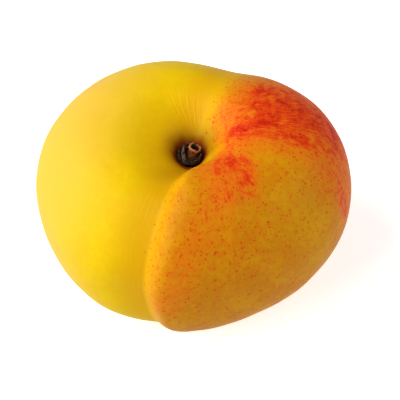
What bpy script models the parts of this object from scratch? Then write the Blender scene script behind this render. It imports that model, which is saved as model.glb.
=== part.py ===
"""Flat nectarine resting on its blossom end, with the dry stalk still in its cavity."""

import math

import bpy
import numpy as np
from mathutils import Vector

# Every size is in millimetres. The fruit is measured from the stalk's axis and from the
# surface that it rests on. A direction is in degrees, anticlockwise from +X seen from above.
MM = 0.001

# Turned form that the fruit starts from: shoulders, girth and base seen in half section.
GIRTH_RADIUS = 35.0
GIRTH_HEIGHT = 20.0
SHOULDER_RADIUS = 15.0
SHOULDER_HEIGHT = 40.0
BASE_RADIUS = 14.0
ROUNDNESS = 2.1

# Cavity round the stalk: a wide funnel, a steep well in its middle and a socket in the well's floor.
WELL_FLOOR_HEIGHT = 31.0
WELL_RADIUS = 3.7
WELL_DEPTH = 4.0
WELL_STEEPNESS = 6
SOCKET_RADIUS = 2.2
SOCKET_DEPTH = 1.3
SOCKET_STEEPNESS = 12

# Basin under the fruit, where the blossom was.
BASIN_DEPTH = 5.0

# Outline seen from above: a mean radius, and swellings of one, two and three waves round it.
PLAN_RADIUS = 32.9
PLAN_SWELLINGS = (
    (1, 1.5, 119.0),
    (2, 2.6, -18.0),
    (3, 1.3, 4.0),
)

# One shoulder stands higher, the heel tucks in on one side, and the cavity sits askew.
SHOULDER_TILT_DEG = 9.0
SHOULDER_TILT_DIRECTION = 9.0
HEEL_TUCK = 3.3
HEEL_TUCK_DIRECTION = 60.0
CAVITY_LEAN = 3.1
CAVITY_LEAN_DIRECTION = 182.0
# Distances from the axis and heights between which each of these sets in or dies out.
PLAN_SETS_IN = (3.0, 30.0)
TILT_SETS_IN = (3.0, 17.0)
TILT_FROM_HEIGHT = 12.0
LEAN_SETS_IN = (3.0, 14.0)
LEAN_DIES_OUT = (14.0, 34.0)
LEAN_HEIGHTS = (15.0, 30.0)

# Sutures between the two cheeks. Each has a gentle slope on the left cheek, and a wall and a
# rounded crest on the right cheek. Beside the stalk it deepens to a notch with a steep wall.
FRONT_SUTURE = {
    "direction": 247.0,
    "offset": 1.2,
    "bow": 5.6,
    "bow_length": 14.0,
    "return_slope": 0.16,
    "depth": 1.8,
    "slope_width": 9.0,
    "wall_width": 3.2,
    "crest_height": 2.2,
    "crest_width": 18.5,
    "notch_depth": 2.3,
    "notch_slope_width": 5.0,
    "notch_distance": 8.0,
    "notch_length": 7.0,
    "notch_narrowing": 1.9,
    "starts_at": -0.5,
    "full_at": 4.5,
    "crest_starts_at": 0.0,
    "crest_full_at": 16.0,
    "fades_below": 18.0,
    "share_at_base": 0.3,
}
BACK_SUTURE = {
    "direction": 66.0,
    "offset": -1.0,
    "bow": 1.6,
    "bow_length": 12.0,
    "return_slope": 0.0,
    "depth": 0.9,
    "slope_width": 10.0,
    "wall_width": 8.0,
    "crest_height": 0.4,
    "crest_width": 12.0,
    "notch_depth": 0.8,
    "notch_slope_width": 6.0,
    "notch_distance": 6.0,
    "notch_length": 9.0,
    "notch_narrowing": 6.0,
    "starts_at": 2.0,
    "full_at": 8.0,
    "crest_starts_at": 2.0,
    "crest_full_at": 8.0,
    "fades_below": 30.0,
    "share_at_base": 0.0,
}

# Height inside the flesh that the sutures are pressed in towards.
SUTURE_CORE_HEIGHT = 18.0
# The sutures leave the well's floor flat: they start at the inner radius and are full at the other.
SUTURE_INNER_RADIUS = 2.3
SUTURE_FULL_RADIUS = 4.1
# The skin flattens a little where it carries the fruit.
SETTLING = 0.2

FRUIT_ROWS = 48
FRUIT_COLUMNS = 84
# Share by which the columns crowd towards the front suture.
COLUMN_CROWDING = 0.4
# Rows lie this many times closer together in the cavity and in the basin, out to this radius.
ROW_CROWDING = 2.6
ROW_CROWDING_RADIUS = 8.0

# Stalk, measured from the middle of the well's floor: a knob on a foot that stands in the socket.
FOOT_CLEARANCE = 0.6
FOOT_RADIUS = 1.45
FOOT_TOP = 0.35
KNOB_UNDERSIDE_RADIUS = 2.45
KNOB_UNDERSIDE_HEIGHT = 1.05
KNOB_RADIUS = 2.55
KNOB_WAIST_HEIGHT = 1.3
KNOB_HEIGHT = 2.0
KNOB_RIBS = 9
KNOB_RIB_RELIEF = 0.08

# Broken end of the stalk: a short tube that flares to a torn rim.
STUB_BASE = Vector((0.0, -0.25, 1.3))
STUB_TIP = Vector((1.1, 0.6, 3.7))
STUB_NECK_RADIUS = 1.05
STUB_RIM_RADIUS = 1.3
STUB_RIM_WIDTH = 0.38
STUB_RIM_EASE = 0.2
STUB_HOLLOW_DEPTH = 1.1
STUB_SIDES = 20

# Bud scales: where each one starts, its middle and its end, and its thickness.
BUD_SCALES = (
    ("left_outer", (-1.6, 1.7, 2.3), (-2.25, 0.0, 2.1), (-1.5, -1.8, 1.2), 1.3),
    ("left_inner", (-0.9, 1.7, 2.8), (-1.35, 0.1, 2.5), (-0.8, -1.7, 1.5), 1.0),
    ("right", (1.9, 1.3, 2.2), (2.1, 0.0, 2.0), (1.6, -1.5, 1.2), 1.0),
    ("back", (-1.2, 2.0, 2.5), (0.3, 2.3, 2.2), (1.8, 1.7, 1.9), 1.3),
    ("front", (-0.7, -2.0, 1.3), (0.5, -2.1, 1.5), (1.6, -1.6, 1.6), 0.9),
)
SCALE_POINTS = 9
SCALE_TIP_SHARE = 0.5

# Colours of the ripe skin and of the dry stalk, linear.
SKIN_COLOUR = (0.86, 0.53, 0.03, 1.0)
SKIN_ROUGHNESS = 0.42
STALK_COLOUR = (0.11, 0.05, 0.025, 1.0)
STALK_ROUGHNESS = 0.8


def smoothstep(low, high, value):
    """Ease from 0 at low to 1 at high."""
    t = np.clip((value - low) / (high - low), 0.0, 1.0)
    return t * t * (3.0 - 2.0 * t)


def bell(distance, width):
    """Bump of height 1 that has mostly died away at twice its width."""
    return np.exp(-((distance / width) ** 2))


def cavity_depth(radius):
    """How far the skin lies below the shoulders' top at a distance from the stalk's axis."""
    funnel = SHOULDER_HEIGHT - WELL_FLOOR_HEIGHT - WELL_DEPTH
    depth = funnel * (0.5 + 0.5 * np.cos(math.pi * radius / SHOULDER_RADIUS))
    depth += WELL_DEPTH / (1.0 + (radius / WELL_RADIUS) ** WELL_STEEPNESS)
    return depth + SOCKET_DEPTH / (1.0 + (radius / SOCKET_RADIUS) ** SOCKET_STEEPNESS)


def meridian():
    """Half section of the turned form, from the stalk's socket to the middle of the basin."""
    quarter = np.linspace(0.0, math.pi / 2.0, 160)
    power = 2.0 / ROUNDNESS
    in_cavity = np.linspace(0.0, SHOULDER_RADIUS, 240)
    in_basin = np.linspace(BASE_RADIUS, 0.0, 120)
    radius = np.concatenate((
        in_cavity,
        SHOULDER_RADIUS + (GIRTH_RADIUS - SHOULDER_RADIUS) * np.sin(quarter) ** power,
        BASE_RADIUS + (GIRTH_RADIUS - BASE_RADIUS) * np.cos(quarter) ** power,
        in_basin,
    ))
    height = np.concatenate((
        SHOULDER_HEIGHT - cavity_depth(in_cavity),
        GIRTH_HEIGHT + (SHOULDER_HEIGHT - GIRTH_HEIGHT) * np.cos(quarter) ** power,
        GIRTH_HEIGHT - GIRTH_HEIGHT * np.sin(quarter) ** power,
        BASIN_DEPTH * (0.5 + 0.5 * np.cos(math.pi * in_basin / BASE_RADIUS)),
    ))
    steps = np.hypot(np.diff(radius), np.diff(height))
    crowding = 1.0 + (ROW_CROWDING - 1.0) * bell(radius[1:], ROW_CROWDING_RADIUS)
    travelled = np.concatenate(([0.0], np.cumsum(steps * crowding)))
    wanted = np.linspace(0.0, travelled[-1], FRUIT_ROWS + 1)
    return np.interp(wanted, travelled, radius), np.interp(wanted, travelled, height)


def plan_radius(angle):
    """Distance from the stalk's axis to the widest outline, in a direction."""
    reach = np.full_like(angle, PLAN_RADIUS)
    for waves, swelling, direction in PLAN_SWELLINGS:
        reach += swelling * np.cos(waves * (angle - math.radians(direction)))
    return reach


def beside_suture(x, y, z, suture):
    """Distance along a suture from the stalk, and sideways from its crease to the right cheek."""
    turn = math.radians(suture["direction"])
    along = x * math.cos(turn) + y * math.sin(turn)
    across = math.copysign(1.0, math.sin(turn)) * (x * math.sin(turn) - y * math.cos(turn))
    bow = suture["bow"] * np.clip(1.0 - along / suture["bow_length"], 0.0, 1.0) ** 2
    under = suture["return_slope"] * np.clip(GIRTH_HEIGHT - z, 0.0, None)
    return along, across - (suture["offset"] + bow + under)


def suture_relief(x, y, z, suture):
    """Height of the skin over the unmarked form beside a suture."""
    along, side = beside_suture(x, y, z, suture)
    notch = bell(along - suture["notch_distance"], suture["notch_length"])
    notch_depth = suture["notch_depth"] * notch
    slope = suture["depth"] * bell(side, suture["slope_width"])
    slope += notch_depth * bell(side, suture["notch_slope_width"])
    foot = bell(side, suture["wall_width"] - suture["notch_narrowing"] * notch)
    crest = suture["crest_height"] * (1.0 - foot) * bell(side, suture["crest_width"])
    crest *= smoothstep(suture["crest_starts_at"], suture["crest_full_at"], along)
    sunken = smoothstep(suture["starts_at"], suture["full_at"], along)
    wall = crest - (suture["depth"] + notch_depth) * foot * sunken
    relief = np.where(side < 0.0, -slope * sunken, wall)
    share = suture["share_at_base"]
    relief *= share + (1.0 - share) * smoothstep(0.0, suture["fades_below"], z)
    return relief * smoothstep(SUTURE_INNER_RADIUS, SUTURE_FULL_RADIUS, np.hypot(x, y))


def sculpt(points):
    """Turned form's points moved to the fruit's own lopsided shape."""
    x, y, z = points.T
    radius = np.hypot(x, y)
    angle = np.arctan2(y, x)
    angle -= COLUMN_CROWDING * np.sin(angle - math.radians(FRONT_SUTURE["direction"]))
    stretch = 1.0 + (plan_radius(angle) / GIRTH_RADIUS - 1.0) * smoothstep(*PLAN_SETS_IN, radius)
    x = radius * stretch * np.cos(angle)
    y = radius * stretch * np.sin(angle)

    tilt = math.radians(SHOULDER_TILT_DIRECTION)
    uphill = x * math.cos(tilt) + y * math.sin(tilt)
    near_top = smoothstep(TILT_FROM_HEIGHT, SHOULDER_HEIGHT, z) * smoothstep(*TILT_SETS_IN, radius)
    z = z + near_top * math.tan(math.radians(SHOULDER_TILT_DEG)) * uphill

    tucked = 1.0 - smoothstep(0.0, GIRTH_HEIGHT, z)
    tuck = HEEL_TUCK * np.cos(angle - math.radians(HEEL_TUCK_DIRECTION)) / GIRTH_RADIUS
    x = x * (1.0 - tucked * tuck)
    y = y * (1.0 - tucked * tuck)

    on_shoulder = smoothstep(*LEAN_SETS_IN, radius) * (1.0 - smoothstep(*LEAN_DIES_OUT, radius))
    lean = CAVITY_LEAN * on_shoulder * smoothstep(*LEAN_HEIGHTS, z)
    x = x + lean * math.cos(math.radians(CAVITY_LEAN_DIRECTION))
    y = y + lean * math.sin(math.radians(CAVITY_LEAN_DIRECTION))

    moved = np.stack((x, y, z), axis=1)
    outward = moved - np.array((0.0, 0.0, SUTURE_CORE_HEIGHT))
    outward /= np.linalg.norm(outward, axis=1, keepdims=True)
    relief = suture_relief(x, y, z, FRONT_SUTURE) + suture_relief(x, y, z, BACK_SUTURE)
    moved += outward * relief[:, None]
    moved[:, 2] = np.clip(moved[:, 2] - SETTLING, 0.0, None)
    return moved


def material(name, colour, roughness):
    """Plain finish with a colour and a roughness."""
    made = bpy.data.materials.new(name)
    made.use_nodes = True
    shader = made.node_tree.nodes["Principled BSDF"]
    shader.inputs["Base Color"].default_value = colour
    shader.inputs["Roughness"].default_value = roughness
    shader.inputs["Metallic"].default_value = 0.0
    made.diffuse_color = colour
    return made


def applied_mesh(holder, name):
    """Mesh of an object with its modifiers applied, kept in place of the object."""
    graph = bpy.context.evaluated_depsgraph_get()
    mesh = bpy.data.meshes.new_from_object(holder.evaluated_get(graph))
    mesh.name = name
    mesh.transform(holder.matrix_world)
    bpy.data.objects.remove(holder)
    return mesh


def turned(name, radii, heights, sides):
    """Mesh of a half section, given from top to bottom, turned round +Z."""
    line = bpy.data.meshes.new(name + "_section")
    corners = [(radius * MM, 0.0, height * MM) for radius, height in zip(radii, heights)]
    line.from_pydata(corners, [(i, i + 1) for i in range(len(corners) - 1)], [])
    holder = bpy.data.objects.new(name + "_section", line)
    bpy.context.scene.collection.objects.link(holder)
    screw = holder.modifiers.new("Turn", "SCREW")
    screw.steps = sides
    screw.render_steps = sides
    screw.use_merge_vertices = True
    screw.merge_threshold = 0.00001
    mesh = applied_mesh(holder, name)
    bpy.data.meshes.remove(line)
    return mesh


def positions(mesh):
    """Vertex positions of a mesh, in millimetres."""
    flat = np.empty(len(mesh.vertices) * 3, dtype=np.float32)
    mesh.vertices.foreach_get("co", flat)
    return flat.reshape(-1, 3).astype(float) / MM


def place_vertices(mesh, points):
    """Give a mesh new vertex positions, in millimetres."""
    mesh.vertices.foreach_set("co", (points * MM).astype(np.float32).ravel())
    mesh.update()


def fruit_mesh():
    """Flesh and skin: one natural body with two cheeks, a cavity above and a basin below."""
    radii, heights = meridian()
    mesh = turned("fruit", radii, heights, FRUIT_COLUMNS)
    place_vertices(mesh, sculpt(positions(mesh)))
    mesh.shade_smooth()
    return mesh


def knob_mesh():
    """Squat woody knob on a foot that stands in the socket, ribbed by its dry fibres."""
    foot_bottom = FOOT_CLEARANCE - SOCKET_DEPTH
    bend = np.linspace(0.0, math.pi / 2.0, 7)
    radii = list(KNOB_RADIUS * np.sin(bend))
    heights = list(KNOB_WAIST_HEIGHT + (KNOB_HEIGHT - KNOB_WAIST_HEIGHT) * np.cos(bend))
    radii += [KNOB_UNDERSIDE_RADIUS, FOOT_RADIUS, FOOT_RADIUS, 0.0]
    heights += [KNOB_UNDERSIDE_HEIGHT, FOOT_TOP, foot_bottom, foot_bottom]
    mesh = turned("knob", radii, heights, 4 * KNOB_RIBS)
    points = positions(mesh)
    angle = np.arctan2(points[:, 1], points[:, 0])
    reach = np.hypot(points[:, 0], points[:, 1])
    ribs = KNOB_RIB_RELIEF * np.cos(KNOB_RIBS * angle) * smoothstep(FOOT_RADIUS, KNOB_RADIUS, reach)
    points[:, :2] *= (1.0 + ribs / KNOB_RADIUS)[:, None]
    place_vertices(mesh, points)
    return mesh


def stub_mesh():
    """Broken end of the stalk: a short flared tube with a hollow in its end."""
    length = (STUB_TIP - STUB_BASE).length
    hollow = STUB_RIM_RADIUS - STUB_RIM_WIDTH
    rim_top = STUB_RIM_RADIUS - STUB_RIM_EASE
    hollow_floor = length - STUB_HOLLOW_DEPTH
    radii = [0.0, hollow, hollow, rim_top, STUB_RIM_RADIUS, STUB_NECK_RADIUS, STUB_NECK_RADIUS, 0.0]
    heights = [hollow_floor, hollow_floor, length, length, length - STUB_RIM_EASE, 0.5 * length, 0.0, 0.0]
    mesh = turned("stub", radii, heights, STUB_SIDES)
    lean = Vector((0.0, 0.0, 1.0)).rotation_difference(STUB_TIP - STUB_BASE).to_matrix().to_4x4()
    lean.translation = STUB_BASE * MM
    mesh.transform(lean)
    return mesh


def scale_mesh(name, start, middle, end, thickness):
    """Dry bud scale: a tapered band that bends through three points."""
    curve = bpy.data.curves.new(name, "CURVE")
    curve.dimensions = "3D"
    curve.bevel_depth = 0.5 * thickness * MM
    curve.bevel_resolution = 2
    curve.use_fill_caps = True
    spline = curve.splines.new("POLY")
    spline.points.add(SCALE_POINTS - 1)
    for i, point in enumerate(spline.points):
        t = i / (SCALE_POINTS - 1)
        place = Vector(start) * (1 - t) * (1 - 2 * t)
        place += Vector(middle) * 4 * t * (1 - t)
        place += Vector(end) * t * (2 * t - 1)
        point.co = (*(place * MM), 1.0)
        point.radius = SCALE_TIP_SHARE + (1.0 - SCALE_TIP_SHARE) * math.sin(math.pi * t)
    holder = bpy.data.objects.new(name, curve)
    bpy.context.scene.collection.objects.link(holder)
    weld = holder.modifiers.new("Weld", "WELD")
    weld.merge_threshold = 0.00001
    mesh = applied_mesh(holder, name)
    bpy.data.curves.remove(curve)
    return mesh


def stalk_mesh(cutters):
    """Dry stalk: knob, broken stub and the bud scales grown on them, as one woody body."""
    grown_on = [stub_mesh()]
    for bud_scale in BUD_SCALES:
        grown_on.append(scale_mesh(*bud_scale))
    for mesh in grown_on:
        piece = bpy.data.objects.new(mesh.name + "_joined", mesh)
        piece.hide_render = True
        piece.display_type = "WIRE"
        cutters.objects.link(piece)
    holder = bpy.data.objects.new("stalk_whole", knob_mesh())
    bpy.context.scene.collection.objects.link(holder)
    union = holder.modifiers.new("Grow together", "BOOLEAN")
    union.operation = "UNION"
    union.operand_type = "COLLECTION"
    union.collection = cutters
    union.solver = "EXACT"
    mesh = applied_mesh(holder, "stalk")
    for piece in list(cutters.objects):
        bpy.data.objects.remove(piece)
    mesh.shade_smooth()
    return mesh


def build():
    for leftover in list(bpy.data.objects):
        bpy.data.objects.remove(leftover)
    parts = bpy.data.collections.new("flat_nectarine")
    cutters = bpy.data.collections.new("joining_shapes")
    bpy.context.scene.collection.children.link(parts)
    bpy.context.scene.collection.children.link(cutters)

    flesh = fruit_mesh()
    flesh.materials.append(material("ripe_skin", SKIN_COLOUR, SKIN_ROUGHNESS))
    woody = stalk_mesh(cutters)
    woody.materials.clear()
    woody.materials.append(material("dry_stalk", STALK_COLOUR, STALK_ROUGHNESS))

    # The origin is under the middle of the fruit, and the stalk's axis stands off it.
    points = positions(flesh)
    middle = 0.5 * (points.min(axis=0) + points.max(axis=0))
    whole = bpy.data.objects.new("flat_nectarine", None)
    parts.objects.link(whole)
    whole.location = (-middle[0] * MM, -middle[1] * MM, 0.0)
    fruit = bpy.data.objects.new("fruit", flesh)
    stalk = bpy.data.objects.new("stalk", woody)
    stalk.location = (0.0, 0.0, (WELL_FLOOR_HEIGHT - SETTLING) * MM)
    for piece in (fruit, stalk):
        parts.objects.link(piece)
        piece.parent = whole


build()
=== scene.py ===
"""Ripe flat nectarine on a pale floor, seen from above its front and lit softly from the left."""

import math

import bmesh
import bpy
import numpy as np
from mathutils import Matrix, Vector


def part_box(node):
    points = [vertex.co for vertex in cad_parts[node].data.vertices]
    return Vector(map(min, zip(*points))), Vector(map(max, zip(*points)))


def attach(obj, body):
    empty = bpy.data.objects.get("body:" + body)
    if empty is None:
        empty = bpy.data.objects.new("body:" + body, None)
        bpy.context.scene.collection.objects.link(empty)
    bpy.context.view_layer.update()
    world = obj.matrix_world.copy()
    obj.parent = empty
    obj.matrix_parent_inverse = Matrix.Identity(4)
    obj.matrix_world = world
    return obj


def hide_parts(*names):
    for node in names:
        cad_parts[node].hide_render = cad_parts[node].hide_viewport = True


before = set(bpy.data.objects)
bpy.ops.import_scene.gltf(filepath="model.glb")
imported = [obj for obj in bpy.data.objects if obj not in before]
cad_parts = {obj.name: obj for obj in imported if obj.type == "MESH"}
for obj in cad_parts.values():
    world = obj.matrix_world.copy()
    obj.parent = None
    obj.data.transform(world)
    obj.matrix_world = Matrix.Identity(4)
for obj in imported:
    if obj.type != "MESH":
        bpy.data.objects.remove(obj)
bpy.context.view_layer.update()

# Sizes are in millimetres, apart from the studio's. The fruit is measured from the stalk's axis and
# from the surface that it rests on. A direction is in degrees, anticlockwise from +X seen from above.
MM = 0.001
# Object coordinates are in metres, and this scale makes one unit of a pattern 1 mm.
IN_MILLIMETRES = (1.0 / MM, 1.0 / MM, 1.0 / MM)

# Turned form that the fruit starts from: shoulders, girth and base seen in half section.
GIRTH_RADIUS = 35.0
GIRTH_HEIGHT = 20.0
SHOULDER_RADIUS = 15.0
SHOULDER_HEIGHT = 40.0
BASE_RADIUS = 14.0
ROUNDNESS = 2.1

# Cavity round the stalk: a wide funnel, a steep well in its middle and a socket in the well's floor.
WELL_FLOOR_HEIGHT = 31.0
WELL_RADIUS = 3.7
WELL_DEPTH = 4.0
WELL_STEEPNESS = 6
SOCKET_RADIUS = 2.2
SOCKET_DEPTH = 1.3
SOCKET_STEEPNESS = 12

# Basin under the fruit, where the blossom was.
BASIN_DEPTH = 5.0

# Outline seen from above: a mean radius, and swellings of one, two and three waves round it.
PLAN_RADIUS = 32.9
PLAN_SWELLINGS = ((1, 1.5, 119.0), (2, 2.6, -18.0), (3, 1.3, 4.0))

# One shoulder stands higher, the heel tucks in on one side, and the cavity sits askew.
SHOULDER_TILT_DEG = 9.0
SHOULDER_TILT_DIRECTION = 9.0
HEEL_TUCK = 3.3
HEEL_TUCK_DIRECTION = 60.0
CAVITY_LEAN = 3.1
CAVITY_LEAN_DIRECTION = 182.0
# Distances from the axis and heights between which each of these sets in or dies out.
PLAN_SETS_IN = (3.0, 30.0)
TILT_SETS_IN = (3.0, 17.0)
TILT_FROM_HEIGHT = 12.0
LEAN_SETS_IN = (3.0, 14.0)
LEAN_DIES_OUT = (14.0, 34.0)
LEAN_HEIGHTS = (15.0, 30.0)

# Sutures between the two cheeks: a gentle slope on the left cheek, and a wall and a rounded
# crest on the right cheek. Beside the stalk each deepens to a notch with a steep wall.
FRONT_SUTURE = dict(
    direction=247.0, offset=1.2, bow=5.6, bow_length=14.0, return_slope=0.16,
    depth=1.8, slope_width=9.0, wall_width=3.2, crest_height=2.2, crest_width=18.5,
    notch_depth=2.3, notch_slope_width=5.0, notch_distance=8.0, notch_length=7.0,
    notch_narrowing=1.9, starts_at=-0.5, full_at=4.5, crest_starts_at=0.0, crest_full_at=16.0,
    fades_below=18.0, share_at_base=0.3,
)
BACK_SUTURE = dict(
    direction=66.0, offset=-1.0, bow=1.6, bow_length=12.0, return_slope=0.0,
    depth=0.9, slope_width=10.0, wall_width=8.0, crest_height=0.4, crest_width=12.0,
    notch_depth=0.8, notch_slope_width=6.0, notch_distance=6.0, notch_length=9.0,
    notch_narrowing=6.0, starts_at=2.0, full_at=8.0, crest_starts_at=2.0, crest_full_at=8.0,
    fades_below=30.0, share_at_base=0.0,
)
SUTURE_CORE_HEIGHT = 18.0
SUTURE_INNER_RADIUS = 2.3
SUTURE_FULL_RADIUS = 4.1
SETTLING = 0.2

# The skin's mesh: rows from the socket to the basin, closer together in the well, and columns
# round the fruit, closer together at the front suture.
SKIN_ROWS = 232
SKIN_COLUMNS = 400
COLUMN_CROWDING = 0.3
ROW_CROWDING = 2.6
ROW_CROWDING_RADIUS = 8.0

# Fine relief of the skin: pleats drawn in at the back of the cavity, faint wrinkles beside the
# front suture, and a slight unevenness all over.
PLEAT_WAVES = 83
PLEAT_RELIEF = 0.055
PLEAT_DIRECTION = 80.0
PLEAT_SPREAD = 22.0
PLEATS_SET_IN = (5.0, 8.0)
PLEATS_DIE_OUT = (10.0, 16.0)
WRINKLE_SPACING = 1.1
WRINKLE_RELIEF = 0.03
WRINKLES_FROM_CREASE = 2.6
WRINKLES_SPREAD = 2.2
WRINKLES_SET_IN = (14.0, 20.0)
WRINKLE_HEIGHTS = (8.0, 20.0)
UNEVENNESS = 0.08
UNEVEN_FROM_RADIUS = (8.0, 16.0)
UNEVEN_FROM_HEIGHT = (0.5, 6.0)

# Colours of ripe yellow-fleshed nectarine skin, from its palest yellow to its darkest red, and of
# its mottles and freckles.
# The palest yellow is partly painted sheen on the side that faces the light.
PALE_YELLOW_WITH_PAINTED_SHEEN = "f2c43e"
SUNNY_YELLOW = "f4cb00"
DEEP_YELLOW = "f0c300"
# The crease's gold is partly painted shade in the crease and the funnel round the stalk.
GOLD_WITH_PAINTED_SHADE = "e8b000"
GOLDEN_OCHRE = "de9a00"
WARM_OCHRE = "d78800"
FLAME_ORANGE = "f27a12"
BLUSH_RED = "ec3a10"
CRIMSON = "c61408"
MOTTLE_ORANGE = "e85e08"
FRECKLE_RED = "dc3a04"
# Colours of the olive skin in the well, with painted shade in it, of the corky rim round the stalk
# and of the blossom's scar.
OLIVE_AND_PAINTED_SHADE = "7a5600"
CORK_BROWN = "96400e"
SCAR_BROWN = "5a3a1c"
# Colours of dry wood: in its furrows, on its fibres and where it is worn, and of painted shade
# deep in the stub's hollow.
WEATHERED_BARK = ("180b05", "4a2e18", "7d5a3a")
BROKEN_WOOD = ("4e2410", "a45a28", "d0905a")
DRY_BUD_SCALE = ("140b05", "43311e", "7c6650")
PAINTED_HOLLOW_SHADE = "1c0a04"
# Colour of the floor.
PAPER_WHITE = "f4f4f4"

# How far beyond the front and the back suture the right cheek's ochre and its pigment set in.
OCHRE_SETS_IN = ((-1.5, 6.0), (1.0, 11.0))
PIGMENT_SETS_IN = ((-1.5, 3.0), (0.0, 5.0))
# Where the front suture takes over from the back one: along it on the right cheek, and in y on
# the left one.
RIGHT_TAKES_OVER = (-3.0, 3.0)
LEFT_TAKES_OVER = (3.0, -6.0)
# Share of the pigmented skin's places that have a freckle, and strength of its mottles, where no
# wash lies.
FRECKLED_BARE = 0.7
MOTTLED_BARE = 0.3
# Gold on the left cheek, towards the sutures, from the base up and round the stalk, partly deeper
# yellow skin and partly painted shade of the crease and the funnel, and paler yellow far out,
# partly painted sheen on the lit side, which dies out towards the sutures.
GOLD_SETS_IN = (-10.0, -1.0)
GOLD_HEIGHTS = (2.0, 18.0)
GOLD_LOW_DOWN = 0.4
GOLD_ROUND_STALK = 0.9
GOLD_SPREAD = 9.0
PALE_DIES_OUT = (-27.0, -9.0)
# Distances from the stalk's axis: where the olive skin and painted shade of the well start to
# fade and how softly they do, and over which the cork, the scar and the near streaks end.
OLIVE_FROM_RADIUS = 3.4
OLIVE_SPREAD = 2.4
CORK_ENDS = (3.2, 4.6)
SCAR_ENDS = (1.4, 2.6)
NEAR_STREAKS_END = (9.0, 20.0)

# Washes of red blush: direction round the stalk, distance from it over the skin, half length
# along the meridian, half width across it, and strength.
BLUSH_WASHES = (
    (27.0, 23.5, 3.0, 2.6, 0.95), (35.0, 27.0, 3.0, 2.6, 0.65), (18.0, 24.5, 4.5, 2.2, 0.6),
    (3.0, 23.0, 3.4, 2.1, 1.0), (359.0, 18.5, 3.4, 1.8, 0.9), (355.0, 16.0, 2.4, 1.4, 0.95),
    (349.0, 20.5, 3.6, 1.6, 0.6), (14.0, 28.0, 3.6, 2.8, 0.9), (5.0, 32.0, 3.6, 2.6, 0.9),
    (11.0, 34.0, 4.0, 4.0, 0.6), (22.0, 31.0, 4.2, 4.0, 0.65), (352.0, 30.0, 2.6, 2.0, 0.45),
    (8.0, 37.5, 4.5, 4.2, 0.7), (358.0, 38.5, 3.6, 2.6, 0.4), (349.0, 41.0, 3.5, 2.4, 0.45),
    (344.0, 46.5, 4.5, 2.2, 0.75), (309.0, 19.5, 2.4, 2.6, 0.8), (319.0, 22.0, 2.2, 2.2, 0.65),
    (301.0, 18.0, 2.0, 2.2, 0.35), (311.0, 25.0, 2.8, 2.6, 0.7), (306.0, 28.5, 2.4, 2.4, 0.4),
    (22.0, 26.0, 7.0, 8.0, 0.45), (0.0, 27.0, 9.0, 4.5, 0.35), (5.0, 36.0, 8.0, 8.0, 0.4),
    (305.0, 21.0, 5.0, 4.0, 0.3), (337.0, 16.0, 5.0, 4.0, 0.45), (30.0, 42.0, 8.0, 14.0, 0.7),
    (10.0, 48.0, 8.0, 10.0, 0.6), (351.0, 27.5, 7.0, 3.5, 0.5), (342.0, 40.0, 6.0, 5.0, 0.35),
    (292.0, 21.0, 5.0, 3.0, 0.3), (292.0, 27.0, 4.0, 3.0, 0.35), (22.0, 17.0, 4.0, 4.0, 0.35),
)
# Washes of orange under the red and along the cheek's front.
ORANGE_WASHES = (
    (8.0, 26.0, 12.0, 11.0, 0.9), (15.0, 38.0, 14.0, 16.0, 0.8), (354.0, 42.0, 12.0, 9.0, 0.5),
    (292.0, 25.5, 5.0, 4.5, 0.75), (280.0, 28.5, 4.0, 3.8, 0.8), (274.0, 34.0, 5.0, 4.2, 0.9),
    (268.0, 40.0, 5.0, 4.2, 0.9), (265.0, 45.0, 5.0, 4.0, 0.8), (262.0, 50.5, 4.0, 3.6, 0.8),
    (289.0, 38.0, 6.0, 5.0, 0.55), (305.0, 38.0, 5.0, 4.5, 0.3), (308.0, 45.0, 3.0, 3.5, 0.4),
    (296.0, 46.0, 3.0, 3.5, 0.3), (335.0, 16.0, 5.0, 4.5, 0.5), (305.0, 20.0, 7.0, 5.0, 0.7),
    (282.0, 18.0, 4.0, 3.0, 0.45), (345.0, 33.0, 6.0, 4.0, 0.35), (44.0, 19.0, 6.0, 5.0, 0.35),
    (25.0, 15.0, 5.0, 4.0, 0.7), (20.0, 11.0, 3.0, 2.5, 0.4), (55.0, 26.0, 5.0, 4.0, 0.25),
)
# Washes of clear yellow that show through the right cheek's ochre.
YELLOW_WASHES = (
    (324.0, 41.0, 9.0, 7.0, 0.45), (326.0, 19.0, 5.0, 3.0, 0.4), (334.0, 26.0, 4.0, 3.0, 0.3),
)

# Random patterns on the skin, in cells for each millimetre: clouds 6 mm wide, patches 3 mm wide,
# blotches 1.4 mm wide, mottles 0.55 mm wide, and grain 0.4 mm wide, which is coarser than real
# pores, so that it shows.
CLOUDS = 0.16
PATCHES = 0.34
BLOTCHES = 0.7
MOTTLES = 1.8
GRAIN = 2.4
# Streaks down the meridians, 0.25 mm wide and 2 mm long: cells for each radian round the stalk,
# near it and far from it, and for each millimetre away from it.
NEAR_STREAKS = (48.0, 48.0, 0.55)
FAR_STREAKS = (105.0, 105.0, 0.55)
# Freckles: cells for each millimetre, with a freckle at most in each, and the largest's radius.
LARGE_FRECKLES = (0.7, 0.42)
SMALL_FRECKLES = (1.3, 0.3)

# Smooth hairless skin is satin, and dull where it is corky. Light goes a little way into the
# flesh, red furthest.
SKIN_ROUGHNESS = (0.42, 0.54)
CORK_ROUGHNESS = 0.85
SKIN_IOR = 1.45
SKIN_SPECULAR = 0.1
PORE_DEPTH = 0.3
FLESH_GLOW = 0.2
FLESH_REACH = (1.0, 0.45, 0.1)
FLESH_DEPTH = 2.0

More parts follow.
